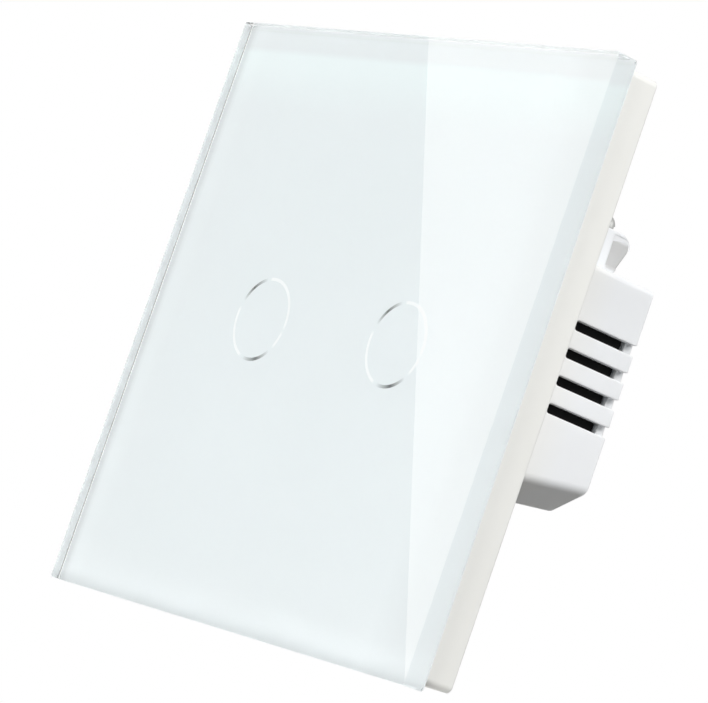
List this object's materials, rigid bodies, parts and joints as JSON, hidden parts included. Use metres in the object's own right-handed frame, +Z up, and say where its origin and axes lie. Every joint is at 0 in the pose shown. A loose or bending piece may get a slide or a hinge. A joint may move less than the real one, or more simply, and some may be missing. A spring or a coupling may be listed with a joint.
{
  "type": "touch light switch",
  "caption": "Square glass wall switch with touch rings, a pull-off front panel and a vented rear casing with screw terminals for a round wall box.",
  "frame": {"origin": "centre of the face that rests on the wall, midway between the two wall box screws", "axes": "+Y into the wall, +Z up, +X to the right as seen from the room"},
  "size_m": [0.086, 0.034, 0.086],
  "materials": {
    "clear_glass": "polished flat glass, faint green-grey edges",
    "white_print": "opaque white print behind the glass",
    "silver_ring": "bright silver ink line",
    "foam_tape": "thin white adhesive foam",
    "cream_plastic": "smooth moulded plastic, satin",
    "white_plastic": "smooth moulded plastic, satin",
    "casing_plastic": "moulded flame-retardant plastic, satin",
    "zinc_steel": "zinc-plated steel",
    "nylon": "natural nylon",
    "board_laminate": "glass-fibre laminate under green lacquer",
    "black_epoxy": "moulded epoxy",
    "lamp_lens": "clear resin over a small lamp",
    "spring_steel": "nickel-plated spring wire",
    "milky_plastic": "milky light-guiding plastic",
    "header_plastic": "black moulded plastic",
    "yellow_plastic": "moulded box, slightly glossy",
    "capacitor_sleeve": "shrink sleeve on aluminium",
    "blue_epoxy": "dipped epoxy coating",
    "ferrite": "sintered ferrite core",
    "tinned_brass": "bright stamped strip",
    "relay_plastic": "black moulded plastic",
    "relay_iron": "plated soft iron",
    "copper_wire": "enamelled copper wire",
    "contact_brass": "copper alloy strip with silver button"
  },
  "bodies": {
    "base": {"mounting_plate": "white_plastic", "rear_casing": "casing_plastic", "plate_screws": "zinc_steel", "board_screws": "zinc_steel", "board_spacers": "nylon", "control_board": "board_laminate", "touch_controller": "black_epoxy", "indicator_lamps": "lamp_lens", "touch_spring_1": "spring_steel", "touch_spring_2": "spring_steel", "light_guide_1": "milky_plastic", "light_guide_2": "milky_plastic", "pin_header": "header_plastic", "header_socket": "header_plastic", "power_board": "board_laminate", "film_capacitor": "yellow_plastic", "electrolytic_capacitor": "capacitor_sleeve", "varistor": "blue_epoxy", "fuse": "header_plastic", "choke": "ferrite", "regulator_chip": "black_epoxy", "terminal_busbars": "tinned_brass", "relay_1_case": "relay_plastic", "relay_1_base": "relay_plastic", "relay_1_yoke": "relay_iron", "relay_1_bobbin": "nylon", "relay_1_winding": "copper_wire", "relay_1_fixed_contact": "contact_brass", "relay_2_case": "relay_plastic", "relay_2_base": "relay_plastic", "relay_2_yoke": "relay_iron", "relay_2_bobbin": "nylon", "relay_2_winding": "copper_wire", "relay_2_fixed_contact": "contact_brass"},
    "front_panel": {"glass_panel": "clear_glass", "glass_print": "white_print", "touch_ring_1": "silver_ring", "touch_ring_2": "silver_ring", "glass_tape": "foam_tape", "panel_frame": "cream_plastic"},
    "relay_1_armature": {"relay_1_armature": "relay_iron", "relay_1_contact_arm": "contact_brass"},
    "relay_2_armature": {"relay_2_armature": "relay_iron", "relay_2_contact_arm": "contact_brass"},
    "clamp_screw_neutral": {"clamp_screw_neutral": "zinc_steel"},
    "clamp_cage_neutral": {"clamp_cage_neutral": "zinc_steel"},
    "clamp_screw_line": {"clamp_screw_line": "zinc_steel"},
    "clamp_cage_line": {"clamp_cage_line": "zinc_steel"},
    "clamp_screw_load_1": {"clamp_screw_load_1": "zinc_steel"},
    "clamp_cage_load_1": {"clamp_cage_load_1": "zinc_steel"},
    "clamp_screw_load_2": {"clamp_screw_load_2": "zinc_steel"},
    "clamp_cage_load_2": {"clamp_cage_load_2": "zinc_steel"}
  },
  "joints": [
    {"name": "front_panel_pull", "type": "slide", "parent": "base", "child": "front_panel", "axis": [0, -1, 0], "range_m": [0, 0.02]},
    {"name": "relay_1_armature_hinge", "type": "hinge", "parent": "base", "child": "relay_1_armature", "pos_m": [-0.0181, 0.02115, -0.00275], "axis": [1, 0, 0], "range_deg": [0, 4.62], "stiffness_Nm_per_rad": 0.01, "springref_deg": -5.73},
    {"name": "relay_2_armature_hinge", "type": "hinge", "parent": "base", "child": "relay_2_armature", "pos_m": [0.0181, 0.02115, -0.00275], "axis": [1, 0, 0], "range_deg": [0, 4.62], "stiffness_Nm_per_rad": 0.01, "springref_deg": -5.73},
    {"name": "clamp_screw_neutral_turn", "type": "hinge", "parent": "base", "child": "clamp_screw_neutral", "pos_m": [-0.01192, 0.0205, 0.0276], "axis": [0, -1, 0], "range_deg": [0, 1800]},
    {"name": "clamp_cage_neutral_rise", "type": "slide", "parent": "base", "child": "clamp_cage_neutral", "axis": [0, 1, 0], "range_m": [0, 0.0025]},
    {"name": "clamp_screw_line_turn", "type": "hinge", "parent": "base", "child": "clamp_screw_line", "pos_m": [-0.00398, 0.0205, 0.0276], "axis": [0, -1, 0], "range_deg": [0, 1800]},
    {"name": "clamp_cage_line_rise", "type": "slide", "parent": "base", "child": "clamp_cage_line", "axis": [0, 1, 0], "range_m": [0, 0.0025]},
    {"name": "clamp_screw_load_1_turn", "type": "hinge", "parent": "base", "child": "clamp_screw_load_1", "pos_m": [0.00398, 0.0205, 0.0276], "axis": [0, -1, 0], "range_deg": [0, 1800]},
    {"name": "clamp_cage_load_1_rise", "type": "slide", "parent": "base", "child": "clamp_cage_load_1", "axis": [0, 1, 0], "range_m": [0, 0.0025]},
    {"name": "clamp_screw_load_2_turn", "type": "hinge", "parent": "base", "child": "clamp_screw_load_2", "pos_m": [0.01192, 0.0205, 0.0276], "axis": [0, -1, 0], "range_deg": [0, 1800]},
    {"name": "clamp_cage_load_2_rise", "type": "slide", "parent": "base", "child": "clamp_cage_load_2", "axis": [0, 1, 0], "range_m": [0, 0.0025]}
  ],
  "couplings": [
    {"joint": "clamp_screw_neutral_turn", "follows": "clamp_cage_neutral_rise", "rad_per_m": 12566},
    {"joint": "clamp_screw_line_turn", "follows": "clamp_cage_line_rise", "rad_per_m": 12566},
    {"joint": "clamp_screw_load_1_turn", "follows": "clamp_cage_load_1_rise", "rad_per_m": 12566},
    {"joint": "clamp_screw_load_2_turn", "follows": "clamp_cage_load_2_rise", "rad_per_m": 12566}
  ]
}
